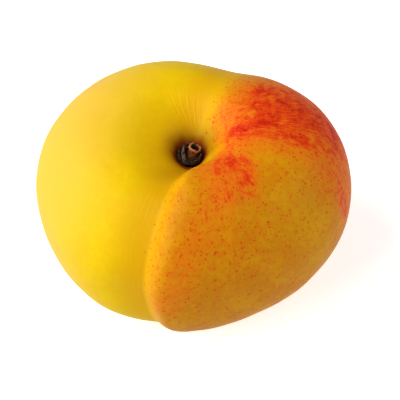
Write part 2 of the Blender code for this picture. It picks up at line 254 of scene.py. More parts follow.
# The stalk left in the cavity, measured from the well's floor: a squat knob on a foot, a broken
# hollow stub that leans, and dry bud scales grown round it.
FOOT_CLEARANCE = 0.6
FOOT_RADIUS = 1.45
FOOT_TOP = 0.35
KNOB_UNDERSIDE_RADIUS = 2.45
KNOB_UNDERSIDE_HEIGHT = 1.05
KNOB_RADIUS = 2.55
KNOB_WAIST_HEIGHT = 1.3
KNOB_HEIGHT = 2.0
KNOB_RIBS = 9
STUB_BASE = Vector((0.0, -0.25, 1.3))
STUB_TIP = Vector((1.1, 0.6, 3.7))
STUB_NECK_RADIUS = 1.05
STUB_RIM_RADIUS = 1.3
STUB_RIM_WIDTH = 0.38
STUB_RIM_ROLL = 0.25
STUB_FLARE_STARTS = 0.35
STUB_FLARE_STEP = 0.2
STUB_HOLLOW_DEPTH = 1.1
STUB_BREAK_SLANT = 0.28
FIBRE_DEPTH = 0.2

# Bud scales: start, middle and end of each one's spine, its width, how far it curls out, and how
# worn and pale it is.
BUD_SCALES = (
    ((-1.7, 1.6, 2.1), (-2.3, 0.0, 2.1), (-1.6, -1.8, 1.1), 1.4, 0.15, 0.15),
    ((-0.9, 1.9, 2.8), (-1.4, 0.1, 2.75), (-0.7, -1.8, 1.5), 1.8, 0.25, 1.0),
    ((1.9, 1.3, 2.3), (2.15, 0.0, 2.2), (1.6, -1.5, 1.4), 0.9, 0.2, 0.25),
    ((-1.2, 2.0, 2.7), (0.3, 2.3, 2.6), (1.8, 1.6, 2.1), 1.1, 0.2, 0.4),
    ((-0.7, -2.0, 1.5), (0.5, -2.1, 1.9), (1.6, -1.5, 1.9), 0.6, 0.1, 0.5),
)
SCALE_THICKNESS = 0.3
SCALE_RIPPLE = 0.05

# The camera looks along +Y and down at a point given from the foot of the stalk's axis.
CAMERA_ELEVATION = 50.0
CAMERA_DISTANCE = 334.5
CAMERA_TARGET = (2.1, -1.7, 19.4)
CAMERA_LENS = 135.0
SENSOR_WIDTH = 36.0

# Softboxes, each with a direction from the fruit, a width and a power in watts: a broad one high on
# the left, and a weak one that fills in the right. The surround is brighter below than above, as
# over a pale table, and turns from one to the other near the horizon. The softboxes' widths and
# distance and the floor's size are in metres.
SOFTBOXES = (((-0.80, -0.13, 0.57), 2.3, 38.5), ((0.85, -0.20, 0.45), 1.6, 9.0))
SOFTBOX_DISTANCE = 1.6
SURROUND_ABOVE = 0.23
SURROUND_BELOW = 0.83
HORIZON_BLUR = 0.2
FLOOR_GLOW = 0.6
FLOOR_SIZE = 4.0


def smoothstep(low, high, value):
    """Ease from 0 at low to 1 at high."""
    t = np.clip((value - low) / (high - low), 0.0, 1.0)
    return t * t * (3.0 - 2.0 * t)


def bell(distance, width):
    """Bump of height 1 that has mostly died away at twice its width."""
    return np.exp(-((distance / width) ** 2))


def turn_from(angle, direction):
    """Signed angle in degrees from a direction, between -180 and 180."""
    return (np.degrees(angle) - direction + 180.0) % 360.0 - 180.0


def cavity_depth(radius):
    """How far the skin lies below the shoulders' top at a distance from the stalk's axis."""
    funnel = SHOULDER_HEIGHT - WELL_FLOOR_HEIGHT - WELL_DEPTH
    depth = funnel * (0.5 + 0.5 * np.cos(math.pi * radius / SHOULDER_RADIUS))
    depth += WELL_DEPTH / (1.0 + (radius / WELL_RADIUS) ** WELL_STEEPNESS)
    return depth + SOCKET_DEPTH / (1.0 + (radius / SOCKET_RADIUS) ** SOCKET_STEEPNESS)


def meridian():
    """Half section of the turned form from the socket to the basin: radius, height and length so far."""
    quarter = np.linspace(0.0, math.pi / 2.0, 160)
    power = 2.0 / ROUNDNESS
    in_cavity = np.linspace(0.0, SHOULDER_RADIUS, 240)
    in_basin = np.linspace(BASE_RADIUS, 0.0, 120)
    radius = np.concatenate((
        in_cavity,
        SHOULDER_RADIUS + (GIRTH_RADIUS - SHOULDER_RADIUS) * np.sin(quarter) ** power,
        BASE_RADIUS + (GIRTH_RADIUS - BASE_RADIUS) * np.cos(quarter) ** power,
        in_basin,
    ))
    height = np.concatenate((
        SHOULDER_HEIGHT - cavity_depth(in_cavity),
        GIRTH_HEIGHT + (SHOULDER_HEIGHT - GIRTH_HEIGHT) * np.cos(quarter) ** power,
        GIRTH_HEIGHT - GIRTH_HEIGHT * np.sin(quarter) ** power,
        BASIN_DEPTH * (0.5 + 0.5 * np.cos(math.pi * in_basin / BASE_RADIUS)),
    ))
    steps = np.hypot(np.diff(radius), np.diff(height))
    crowding = 1.0 + (ROW_CROWDING - 1.0) * bell(radius[1:], ROW_CROWDING_RADIUS)
    travelled = np.concatenate(([0.0], np.cumsum(steps * crowding)))
    length = np.concatenate(([0.0], np.cumsum(steps)))
    wanted = np.linspace(0.0, travelled[-1], SKIN_ROWS + 1)
    return [np.interp(wanted, travelled, values) for values in (radius, height, length)]


def plan_radius(angle):
    """Distance from the stalk's axis to the widest outline, in a direction."""
    reach = np.full_like(angle, PLAN_RADIUS)
    for waves, swelling, direction in PLAN_SWELLINGS:
        reach += swelling * np.cos(waves * (angle - math.radians(direction)))
    return reach


def beside_suture(x, y, z, suture):
    """Distance along a suture from the stalk, and sideways from its crease to the right cheek."""
    turn = math.radians(suture["direction"])
    along = x * math.cos(turn) + y * math.sin(turn)
    across = math.copysign(1.0, math.sin(turn)) * (x * math.sin(turn) - y * math.cos(turn))
    bow = suture["bow"] * np.clip(1.0 - along / suture["bow_length"], 0.0, 1.0) ** 2
    under = suture["return_slope"] * np.clip(GIRTH_HEIGHT - z, 0.0, None)
    return along, across - (suture["offset"] + bow + under)


def suture_relief(x, y, z, suture):
    """Height of the skin over the unmarked form beside a suture."""
    along, side = beside_suture(x, y, z, suture)
    notch = bell(along - suture["notch_distance"], suture["notch_length"])
    notch_depth = suture["notch_depth"] * notch
    slope = suture["depth"] * bell(side, suture["slope_width"])
    slope += notch_depth * bell(side, suture["notch_slope_width"])
    foot = bell(side, suture["wall_width"] - suture["notch_narrowing"] * notch)
    crest = suture["crest_height"] * (1.0 - foot) * bell(side, suture["crest_width"])
    crest *= smoothstep(suture["crest_starts_at"], suture["crest_full_at"], along)
    sunken = smoothstep(suture["starts_at"], suture["full_at"], along)
    wall = crest - (suture["depth"] + notch_depth) * foot * sunken
    relief = np.where(side < 0.0, -slope * sunken, wall)
    share = suture["share_at_base"]
    relief *= share + (1.0 - share) * smoothstep(0.0, suture["fades_below"], z)
    return relief * smoothstep(SUTURE_INNER_RADIUS, SUTURE_FULL_RADIUS, np.hypot(x, y))


def fine_relief(x, y, z, radius, angle):
    """Pleats, wrinkles and unevenness too fine for the solid."""
    pleated = bell(turn_from(angle, PLEAT_DIRECTION), PLEAT_SPREAD)
    pleated *= smoothstep(*PLEATS_SET_IN, radius) * (1.0 - smoothstep(*PLEATS_DIE_OUT, radius))
    wander = 0.9 * np.sin(3.0 * angle + 0.25 * radius) + 0.7 * np.sin(7.0 * angle - 0.4 * radius)
    pleats = np.sin(PLEAT_WAVES * angle + wander) + 0.7 * np.sin(0.62 * PLEAT_WAVES * angle - wander)
    relief = PLEAT_RELIEF * pleats * pleated

    along, side = beside_suture(x, y, z, FRONT_SUTURE)
    beside = bell(side + WRINKLES_FROM_CREASE, WRINKLES_SPREAD) * smoothstep(*WRINKLES_SET_IN, along)
    beside *= smoothstep(*WRINKLE_HEIGHTS, z)
    drift = 1.6 * np.sin(0.21 * z + 0.4) + 0.9 * np.sin(0.47 * z + 0.5 * side)
    waves = np.sin(2.0 * math.pi * side / WRINKLE_SPACING + drift)
    relief += WRINKLE_RELIEF * waves * (0.6 + 0.4 * np.sin(0.7 * z)) * beside

    uneven = np.sin(0.31 * x + 0.17 * y + 1.0) * np.sin(0.24 * y - 0.29 * z)
    uneven += 0.6 * np.sin(0.52 * x - 0.41 * z + 2.0) * np.sin(0.47 * y + 0.33 * x)
    uneven = UNEVENNESS * uneven * smoothstep(*UNEVEN_FROM_RADIUS, radius)
    return relief + uneven * smoothstep(*UNEVEN_FROM_HEIGHT, z)


def sculpt(points):
    """Turned form's points moved to the fruit's own lopsided shape."""
    x, y, z = points.T
    radius = np.hypot(x, y)
    angle = np.arctan2(y, x)
    angle -= COLUMN_CROWDING * np.sin(angle - math.radians(FRONT_SUTURE["direction"]))
    stretch = 1.0 + (plan_radius(angle) / GIRTH_RADIUS - 1.0) * smoothstep(*PLAN_SETS_IN, radius)
    x = radius * stretch * np.cos(angle)
    y = radius * stretch * np.sin(angle)

    tilt = math.radians(SHOULDER_TILT_DIRECTION)
    uphill = x * math.cos(tilt) + y * math.sin(tilt)
    near_top = smoothstep(TILT_FROM_HEIGHT, SHOULDER_HEIGHT, z) * smoothstep(*TILT_SETS_IN, radius)
    z = z + near_top * math.tan(math.radians(SHOULDER_TILT_DEG)) * uphill

    tucked = 1.0 - smoothstep(0.0, GIRTH_HEIGHT, z)
    tuck = HEEL_TUCK * np.cos(angle - math.radians(HEEL_TUCK_DIRECTION)) / GIRTH_RADIUS
    x = x * (1.0 - tucked * tuck)
    y = y * (1.0 - tucked * tuck)

    on_shoulder = smoothstep(*LEAN_SETS_IN, radius) * (1.0 - smoothstep(*LEAN_DIES_OUT, radius))
    lean = CAVITY_LEAN * on_shoulder * smoothstep(*LEAN_HEIGHTS, z)
    x = x + lean * math.cos(math.radians(CAVITY_LEAN_DIRECTION))
    y = y + lean * math.sin(math.radians(CAVITY_LEAN_DIRECTION))

    moved = np.stack((x, y, z), axis=1)
    outward = moved - np.array((0.0, 0.0, SUTURE_CORE_HEIGHT))
    outward /= np.linalg.norm(outward, axis=1, keepdims=True)
    relief = suture_relief(x, y, z, FRONT_SUTURE) + suture_relief(x, y, z, BACK_SUTURE)
    relief += fine_relief(x, y, z, radius, angle)
    moved += outward * relief[:, None]
    moved[:, 2] = np.clip(moved[:, 2] - SETTLING, 0.0, None)
    return moved


def turned(radii, heights, steps, distances=()):
    """Closed bmesh of a half section, given from top to bottom, turned round +Z.

    Its corners keep the distances over the skin, where they are given.
    """
    bm = bmesh.new()
    layer = bm.verts.layers.float.new("skin_distance") if len(distances) else None
    line = [bm.verts.new((radius * MM, 0.0, height * MM)) for radius, height in zip(radii, heights)]
    for corner, distance in zip(line, distances):
        corner[layer] = distance
    edges = [bm.edges.new(pair) for pair in zip(line, line[1:])]
    bmesh.ops.spin(bm, geom=line + edges, cent=(0, 0, 0), axis=(0, 0, 1), angle=2.0 * math.pi,
                   steps=steps, use_merge=True)
    bmesh.ops.remove_doubles(bm, verts=bm.verts, dist=1e-7)
    bmesh.ops.recalc_face_normals(bm, faces=bm.faces)
    return bm


def positions(mesh):
    """Vertex positions of a mesh, in millimetres."""
    flat = np.empty(len(mesh.vertices) * 3, dtype=np.float32)
    mesh.vertices.foreach_get("co", flat)
    return flat.reshape(-1, 3).astype(float) / MM


def place_vertices(mesh, points):
    """Give a mesh new vertex positions, in millimetres."""
    mesh.vertices.foreach_set("co", (points * MM).astype(np.float32).ravel())
    mesh.update()


def mark(mesh, name, values):
    """Keep one or three numbers for each vertex, for a material to read."""
    kind, field = ("FLOAT", "value") if values.ndim == 1 else ("FLOAT_VECTOR", "vector")
    mesh.attributes.new(name, kind, "POINT").data.foreach_set(field, values.astype(np.float32).ravel())


def to_mesh(bm, name):
    """Smooth mesh of a finished bmesh."""
    mesh = bpy.data.meshes.new(name)
    bm.to_mesh(mesh)
    bm.free()
    mesh.shade_smooth()
    return mesh


def piece(name, mesh, finish, node):
    """Put a finished piece in the scene, in place of a node of the solid model."""
    made = bpy.data.objects.new(name, mesh)
    bpy.context.scene.collection.objects.link(made)
    mesh.materials.append(finish)
    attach(made, "root")
    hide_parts(node)


def wash(washes, angle, distance, reach):
    """Strength at each place on the skin of soft patches laid over each other."""
    bare = np.ones_like(angle)
    for direction, centre, half_length, half_width, strength in washes:
        sideways = np.radians(turn_from(angle, direction)) * reach
        spread = ((distance - centre) / half_length) ** 2 + (sideways / half_width) ** 2
        bare *= 1.0 - strength * np.exp(-spread)
    return 1.0 - bare


def right_cheek(x, y, z):
    """Shares of the right cheek's ochre and of its pigment, each eased in from the two sutures."""
    along, front_side = beside_suture(x, y, z, FRONT_SUTURE)
    back_side = beside_suture(x, y, z, BACK_SUTURE)[1]
    before = smoothstep(*RIGHT_TAKES_OVER, along)
    return [before * smoothstep(*front, front_side) + (1.0 - before) * smoothstep(*back, back_side)
            for front, back in (OCHRE_SETS_IN, PIGMENT_SETS_IN)]


def left_cheek(x, y, z):
    """Shares of two yellows on the left cheek: gold at the sutures and the cavity, partly painted
    shade, and pale far out, partly painted sheen.
    """
    front_side = beside_suture(x, y, z, FRONT_SUTURE)[1]
    back_side = beside_suture(x, y, z, BACK_SUTURE)[1]
    before = smoothstep(*LEFT_TAKES_OVER, y)
    side = before * front_side + (1.0 - before) * back_side
    upward = GOLD_LOW_DOWN + (1.0 - GOLD_LOW_DOWN) * smoothstep(*GOLD_HEIGHTS, z)
    beside = smoothstep(*GOLD_SETS_IN, side) * upward
    gold_and_painted_shade = np.maximum(beside, GOLD_ROUND_STALK * bell(np.hypot(x, y), GOLD_SPREAD))
    return gold_and_painted_shade, 1.0 - smoothstep(*PALE_DIES_OUT, side)


def skin_marks(x, y, z, distance):
    """What the skin's material needs to know about each place, by name."""
    angle = np.arctan2(y, x)
    reach = np.hypot(x, y)
    blush, orange, yellow = [wash(washes, angle, distance, reach)
                             for washes in (BLUSH_WASHES, ORANGE_WASHES, YELLOW_WASHES)]
    ochre, pigmented = right_cheek(x, y, z)
    gold_and_painted_shade, pale = left_cheek(x, y, z)
    above = z > GIRTH_HEIGHT
    rim_wobble = 0.12 * np.sin(5.0 * angle) + 0.08 * np.sin(11.0 * angle + 1.0)
    return {
        "cheek": ochre * (1.0 - yellow),
        "gold_and_painted_shade": gold_and_painted_shade,
        "pale": pale,
        "reddened": pigmented * blush,
        "oranged": pigmented * orange,
        "freckled": pigmented * (FRECKLED_BARE + (1.0 - FRECKLED_BARE) * orange),
        "mottled": pigmented * np.clip(MOTTLED_BARE + orange + blush, 0.0, 1.0),
        # Olive skin darkened as painted shade of the well, full within the well and fading outwards.
        "olive_and_painted_shade": above * bell(np.clip(reach - OLIVE_FROM_RADIUS, 0.0, None), OLIVE_SPREAD),
        "cork": above * (1.0 - smoothstep(*CORK_ENDS, reach + rim_wobble)),
        "scar": ~above * (1.0 - smoothstep(*SCAR_ENDS, reach + 4.0 * rim_wobble)),
        "outer": smoothstep(*NEAR_STREAKS_END, reach),
        "around": np.stack((np.cos(angle), np.sin(angle), distance), axis=1),
    }


def fruit_mesh():
    """Skin of the fruit in its place, and the foot of the stalk's axis under it."""
    radii, heights, lengths = meridian()
    mesh = to_mesh(turned(radii, heights, SKIN_COLUMNS, lengths), "fruit_skin")
    points = sculpt(positions(mesh))
    distance = np.empty(len(mesh.vertices), dtype=np.float32)
    mesh.attributes["skin_distance"].data.foreach_get("value", distance)
    for name, values in skin_marks(*points.T, distance).items():
        mark(mesh, name, values)

    low, high = (Vector(corner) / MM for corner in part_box("fruit"))
    middle = 0.5 * (points.min(axis=0) + points.max(axis=0))
    shift = np.array((0.5 * (low.x + high.x) - middle[0], 0.5 * (low.y + high.y) - middle[1], 0.0))
    place_vertices(mesh, points + shift)
    return mesh, Vector(shift) * MM


def to_linear(hex_colour):
    """Linear colour of an sRGB hex value such as "f3bc21"."""
    parts = [int(hex_colour[i:i + 2], 16) / 255.0 for i in (0, 2, 4)]
    return tuple(c / 12.92 if c <= 0.04045 else ((c + 0.055) / 1.055) ** 2.4 for c in parts) + (1.0,)


def add(tree, kind, inputs=None, output=0, **settings):
    """Add a shader node, set it up, give each input a value or a link, and return an output.

    MapRange takes its value at 0, the range that it comes from at 1 and 2, and the one that it goes
    to at 3 and 4. Mix takes its share at 0, and then two numbers at 2 and 3 or two colours at 6 and 7.
    """
    made = tree.nodes.new("ShaderNode" + kind)
    for name, value in settings.items():
        setattr(made, name, value)
    for name, value in (inputs or {}).items():
        socket = made.inputs[name]
        if isinstance(value, bpy.types.NodeSocket):
            tree.links.new(value, socket)
        else:
            socket.default_value = value
    return made.outputs[output] if made.outputs else None


def empty_material(name):
    """Material without any shader nodes yet, and its tree."""
    made = bpy.data.materials.new(name)
    made.use_nodes = True
    made.node_tree.nodes.clear()
    return made, made.node_tree


def freckles(tree, shift, cells_per_mm, radius, share, ragged):
    """Soft dots in random places, up to 1 in a dot's middle.

    Share is how many places have one, and shift keeps two patterns of dots from matching.
    """
    own = add(tree, "TexCoord", output="Object")
    place = add(tree, "Mapping", {"Vector": own, "Location": shift, "Scale": IN_MILLIMETRES})
    cells = add(tree, "TexVoronoi", {"Vector": place, "Scale": cells_per_mm})
    lot = add(tree, "SeparateColor", {0: cells.node.outputs["Color"]})
    largest = radius * cells_per_mm
    size = add(tree, "MapRange", {0: lot.node.outputs[1], 3: 0.5 * largest, 4: largest})
    nearness = add(tree, "Math", {0: cells, 1: size}, operation="DIVIDE")
    edge = add(tree, "MapRange", {0: ragged, 1: 0.3, 2: 0.7, 3: 0.9, 4: 1.7})
    dot = add(tree, "MapRange", {0: nearness, 1: edge, 2: 0.3}, interpolation_type="SMOOTHSTEP")
    faint = add(tree, "MapRange", {0: lot.node.outputs[2], 3: 0.45, 4: 1.0})
    dot = add(tree, "Math", {0: dot, 1: faint}, operation="MULTIPLY")
    present = add(tree, "Math", {0: lot, 1: share}, operation="LESS_THAN")
    return add(tree, "Math", {0: dot, 1: present}, operation="MULTIPLY")


def nectarine_skin():
    """Hairless nectarine skin: a thin waxy film over coloured flesh, so a soft low sheen and no fuzz."""
    skin, tree = empty_material("nectarine_skin")
    own = add(tree, "TexCoord", output="Object")
    place = add(tree, "Mapping", {"Vector": own, "Scale": IN_MILLIMETRES})
    around = add(tree, "Attribute", output="Vector", attribute_name="around")
    here = {name: add(tree, "Attribute", output="Fac", attribute_name=name)
            for name in ("cheek", "gold_and_painted_shade", "pale", "reddened", "oranged", "freckled", "mottled",
                         "olive_and_painted_shade", "cork", "scar", "outer")}

    # Random patterns, each with a mean of one half.
    cloud = add(tree, "TexNoise", {"Vector": place, "Scale": CLOUDS, "Detail": 3.0})
    blotch = add(tree, "TexNoise", {"Vector": place, "Scale": BLOTCHES, "Detail": 3.0, "Distortion": 0.5})
    grain = add(tree, "TexNoise", {"Vector": place, "Scale": GRAIN, "Detail": 2.0, "Roughness": 0.6})
    patches = add(tree, "TexNoise", {"Vector": place, "Scale": PATCHES, "Detail": 2.0, "Distortion": 0.8})
    near = add(tree, "Mapping", {"Vector": around, "Scale": NEAR_STREAKS})
    far = add(tree, "Mapping", {"Vector": around, "Location": (3.0, 1.0, 0.0), "Scale": FAR_STREAKS})
    streak = {"Scale": 1.0, "Detail": 4.0, "Roughness": 0.62, "Distortion": 0.6}
    near_streaks = add(tree, "TexNoise", {"Vector": near, **streak})
    far_streaks = add(tree, "TexNoise", {"Vector": far, **streak})
    streaks = add(tree, "Mix", {0: here["outer"], 2: near_streaks, 3: far_streaks}, data_type="FLOAT")

    # Ground colour: clear yellow on the left cheek, paler far out as partly painted sheen and gold
    # beside the sutures and the cavity as partly painted shade, and ochre on the right one.
    clouded = add(tree, "Mix", {0: 0.45, 2: cloud, 3: blotch}, data_type="FLOAT")
    patchy = add(tree, "MapRange", {0: clouded, 1: 0.38, 2: 0.6}, interpolation_type="SMOOTHSTEP")
    yellow, ochre = [
        add(tree, "Mix", {0: patchy, 6: to_linear(light), 7: to_linear(dark)}, 2, data_type="RGBA")
        for light, dark in ((SUNNY_YELLOW, DEEP_YELLOW), (GOLDEN_OCHRE, WARM_OCHRE))]
    for share, tint in ((here["pale"], PALE_YELLOW_WITH_PAINTED_SHEEN), (here["gold_and_painted_shade"], GOLD_WITH_PAINTED_SHADE)):
        yellow = add(tree, "Mix", {0: share, 6: yellow, 7: to_linear(tint)}, 2, data_type="RGBA")
    colour = add(tree, "Mix", {0: here["cheek"], 6: yellow, 7: ochre}, 2, data_type="RGBA")

    # Pigment under the skin: the washes kept on the mesh, where orange stays soft, and red is torn
    # into streaks and mottles as it thins out.
    uneven = add(tree, "Mix", {0: 0.45, 2: blotch, 3: patches}, data_type="FLOAT")
    torn = add(tree, "Mix", {0: 0.5, 2: streaks, 3: uneven}, data_type="FLOAT")
    missing = add(tree, "MapRange", {0: torn, 1: 0.37, 2: 0.63, 3: -1.2, 4: 0.1})
    red = add(tree, "Math", {0: here["reddened"], 1: 1.3, 2: missing}, operation="MULTIPLY_ADD")
    softness = add(tree, "MapRange", {0: torn, 1: 0.35, 2: 0.65, 3: 0.4, 4: 1.3})
    warmth = add(tree, "Math", {0: here["oranged"], 1: softness}, operation="MULTIPLY")
    warmth = add(tree, "Math", {0: here["reddened"], 1: 1.2, 2: warmth}, operation="MULTIPLY_ADD")

    # More pigment turns the ground orange, then red, then crimson.
    flame = add(tree, "MapRange", {0: warmth, 1: 0.1, 2: 1.3, 4: 0.9}, interpolation_type="SMOOTHSTEP")
    blush = add(tree, "MapRange", {0: red, 2: 0.55, 4: 0.95}, interpolation_type="SMOOTHSTEP")
    deep = add(tree, "MapRange", {0: red, 1: 0.55, 2: 0.95, 4: 0.95}, interpolation_type="SMOOTHSTEP")

    # Orange-red mottles, drawn out down the meridians and densest round the blush.
    specks = add(tree, "TexNoise", {"Vector": place, "Scale": MOTTLES, "Detail": 3.0, "Roughness": 0.55})
    specks = add(tree, "Mix", {0: 0.35, 2: specks, 3: streaks}, data_type="FLOAT")
    specks = add(tree, "MapRange", {0: specks, 1: 0.5, 2: 0.62, 4: 0.65}, interpolation_type="SMOOTHSTEP")
    specks = add(tree, "Math", {0: specks, 1: here["mottled"]}, operation="MULTIPLY")

    # Red freckles, the larger ones about 1.5 to 2 mm apart, with finer ones between them.
    large = freckles(tree, (0.0, 0.0, 0.0), *LARGE_FRECKLES, here["freckled"], grain)
    small = freckles(tree, (7.0, 3.0, 5.0), *SMALL_FRECKLES, here["freckled"], grain)
    dots = add(tree, "Math", {0: large, 1: small}, operation="MAXIMUM")
    dots = add(tree, "Math", {0: dots, 1: 0.95}, operation="MULTIPLY")

    # All of these lie over the ground, and over them come the olive skin and painted shade in the
    # well, the corky rim round the stalk and the blossom's dry scar.
    # Painted shade of the well, at a little over half strength.
    shade = add(tree, "Math", {0: here["olive_and_painted_shade"], 1: 0.55}, operation="MULTIPLY")
    for share, tint in ((flame, FLAME_ORANGE), (blush, BLUSH_RED), (deep, CRIMSON),
                        (specks, MOTTLE_ORANGE), (dots, FRECKLE_RED), (shade, OLIVE_AND_PAINTED_SHADE),
                        (here["cork"], CORK_BROWN), (here["scar"], SCAR_BROWN)):
        colour = add(tree, "Mix", {0: share, 6: colour, 7: to_linear(tint)}, 2, data_type="RGBA")

    smoothest, roughest = SKIN_ROUGHNESS
    dull = add(tree, "Math", {0: here["cork"], 1: here["scar"]}, operation="MAXIMUM")
    satin = add(tree, "MapRange", {0: grain, 1: 0.3, 2: 0.7, 3: smoothest, 4: roughest})
    roughness = add(tree, "Mix", {0: dull, 2: satin, 3: CORK_ROUGHNESS}, data_type="FLOAT")
    pores = add(tree, "Mix", {0: 0.4, 2: grain, 3: streaks}, data_type="FLOAT")
    bump = add(tree, "Bump", {"Strength": 0.12, "Distance": PORE_DEPTH * MM, "Height": pores})
    surface = add(tree, "BsdfPrincipled", {
        "Base Color": colour, "Roughness": roughness, "Normal": bump,
        "IOR": SKIN_IOR, "Specular IOR Level": SKIN_SPECULAR, "Subsurface Weight": FLESH_GLOW,
        "Subsurface Radius": FLESH_REACH, "Subsurface Scale": FLESH_DEPTH * MM,
    })
    add(tree, "OutputMaterial", {"Surface": surface})
    return skin


def along_three(start, middle, end, t):
    """Point at t, from 0 to 1, on the curve through three points."""
    place = Vector(start) * (1 - t) * (1 - 2 * t)
    place += Vector(middle) * 4 * t * (1 - t)
    place += Vector(end) * t * (2 * t - 1)
    return place


def knob_mesh():
    """Squat woody knob on a foot that stands in the socket, furrowed between its dry fibres."""
    bend = np.linspace(0.0, math.pi / 2.0, 16)
    radii = list(KNOB_RADIUS * np.sin(bend))
    heights = list(KNOB_WAIST_HEIGHT + (KNOB_HEIGHT - KNOB_WAIST_HEIGHT) * np.cos(bend))
    foot_bottom = FOOT_CLEARANCE - SOCKET_DEPTH
    radii += [KNOB_UNDERSIDE_RADIUS, FOOT_RADIUS, FOOT_RADIUS, 0.0]
    heights += [KNOB_UNDERSIDE_HEIGHT, FOOT_TOP, foot_bottom, foot_bottom]
    mesh = to_mesh(turned(radii, heights, 144), "stalk_knob")
    points = positions(mesh)
    angle = np.arctan2(points[:, 1], points[:, 0])
    reach = np.hypot(points[:, 0], points[:, 1])
    # Ribs round the side with finer fibres on them, and furrows over the top.
    ribs = 0.06 * np.cos(KNOB_RIBS * angle) + 0.04 * np.sin(23.0 * angle + 3.0 * points[:, 2])
    points[:, :2] *= (1.0 + ribs * smoothstep(FOOT_RADIUS, KNOB_RADIUS, reach) / KNOB_RADIUS)[:, None]
    furrowed = smoothstep(0.6, 2.0, reach) * smoothstep(1.2, 1.6, points[:, 2])
    points[:, 2] += 0.08 * np.sin(17.0 * angle) * furrowed
    place_vertices(mesh, points)
    mark(mesh, "fibres", np.stack((3.0 * angle, reach, 0.5 * points[:, 2]), axis=1))
    return mesh


def stub_mesh():
    """Broken end of the stalk: a short tube with a torn, rolled rim and stringy sides."""
    length = (STUB_TIP - STUB_BASE).length
    hollow = STUB_RIM_RADIUS - STUB_RIM_WIDTH
    inner = [(share * hollow, length - depth * STUB_HOLLOW_DEPTH)
             for share, depth in ((0.0, 1.0), (0.45, 1.0), (0.85, 0.8), (1.0, 0.5))]
    rim_middle = STUB_RIM_RADIUS - 0.5 * STUB_RIM_WIDTH
    rim = [(rim_middle - 0.5 * STUB_RIM_WIDTH * math.cos(bend),
            length - STUB_RIM_ROLL + STUB_RIM_ROLL * math.sin(bend))
           for bend in np.linspace(0.0, math.pi, 9)]
    flare = 0.5 * (STUB_RIM_RADIUS - STUB_NECK_RADIUS)
    outer = [(STUB_NECK_RADIUS + flare * (1 + math.cos(bend)),
              length - STUB_FLARE_STARTS - STUB_FLARE_STEP * i)
             for i, bend in enumerate(np.linspace(0.3, math.pi, 5))]
    outer += [(STUB_NECK_RADIUS, 0.0), (0.0, 0.0)]
    radii, heights = zip(*(inner + rim + outer))
    mesh = to_mesh(turned(radii, heights, 96), "stalk_stub")
    points = positions(mesh)
    angle = np.arctan2(points[:, 1], points[:, 0])
    reach = np.hypot(points[:, 0], points[:, 1])
    near_rim = smoothstep(0.55 * length, length, points[:, 2])
    # Tears round the rim, and strings down the sides as shares of the distance from the middle.
    torn = 0.12 * np.sin(3.0 * angle + 0.6) + 0.05 * np.sin(7.0 * angle) + 0.03 * np.sin(19.0 * angle)
    strings = 0.05 * np.sin(13.0 * angle + 2.0 * points[:, 2]) + 0.03 * np.sin(29.0 * angle - points[:, 2])
    strings += 0.06 * np.sin(2.0 * angle + 1.0)
    mark(mesh, "fibres", np.stack((3.0 * angle, reach, 0.4 * points[:, 2]), axis=1))
    mark(mesh, "worn", near_rim * smoothstep(hollow - 0.05, hollow + 0.15, reach))
    # Painted shade on the inside of the hollow, darkest deep down.
    deep_inside = (reach < hollow + 0.02) & (points[:, 2] > 0.1)
    mark(mesh, "hollow_shade", deep_inside * smoothstep(0.1, 0.6, length - points[:, 2]))
    points[:, 2] += near_rim * (torn + STUB_BREAK_SLANT * points[:, 1])
    points[:, :2] *= (1.0 + strings * smoothstep(0.3, 1.0, reach))[:, None]
    place_vertices(mesh, points)
    lean = Vector((0.0, 0.0, 1.0)).rotation_difference(STUB_TIP - STUB_BASE).to_matrix().to_4x4()
    lean.translation = STUB_BASE * MM
    mesh.transform(lean)
    return mesh


def scales_mesh():
    """Dry bud scales: thin curled leaves wrapped round the stub, ribbed along their length."""
    whole = bmesh.new()
    for number, (start, middle, end, width, curl, wear) in enumerate(BUD_SCALES):
        leaf = bmesh.new()
        fibres = leaf.verts.layers.float_vector.new("fibres")
        worn = leaf.verts.layers.float.new("worn")
        bmesh.ops.create_grid(leaf, x_segments=16, y_segments=28, size=0.5)
        for corner in leaf.verts:
            across, t = 2.0 * corner.co.x, corner.co.y + 0.5
            spine = along_three(start, middle, end, t)
            outward = Vector((spine.x, spine.y, 0.0)).normalized()
            taper = 0.25 + 0.75 * math.sin(math.pi * min(max(t, 0.02), 0.98)) ** 0.6
            half = 0.5 * width * taper
            place = spine + Vector((0.0, 0.0, 1.0)) * half * across
            place -= outward * half * 0.35 * across
            place += outward * curl * (across ** 2)
            place += outward * SCALE_RIPPLE * math.sin(14.0 * half * across + 1.7 * number)
            corner[fibres] = Vector((1.5 * half * across, 0.5 * t, 3.0 * number))
            corner[worn] = wear
            corner.co = place * MM
        bmesh.ops.recalc_face_normals(leaf, faces=leaf.faces)
        bmesh.ops.solidify(leaf, geom=leaf.faces, thickness=SCALE_THICKNESS * MM)
        bmesh.ops.recalc_face_normals(leaf, faces=leaf.faces)
        part = bpy.data.meshes.new("leaf")
        leaf.to_mesh(part)
        leaf.free()
        whole.from_mesh(part)
        bpy.data.meshes.remove(part)
    return to_mesh(whole, "bud_scales")


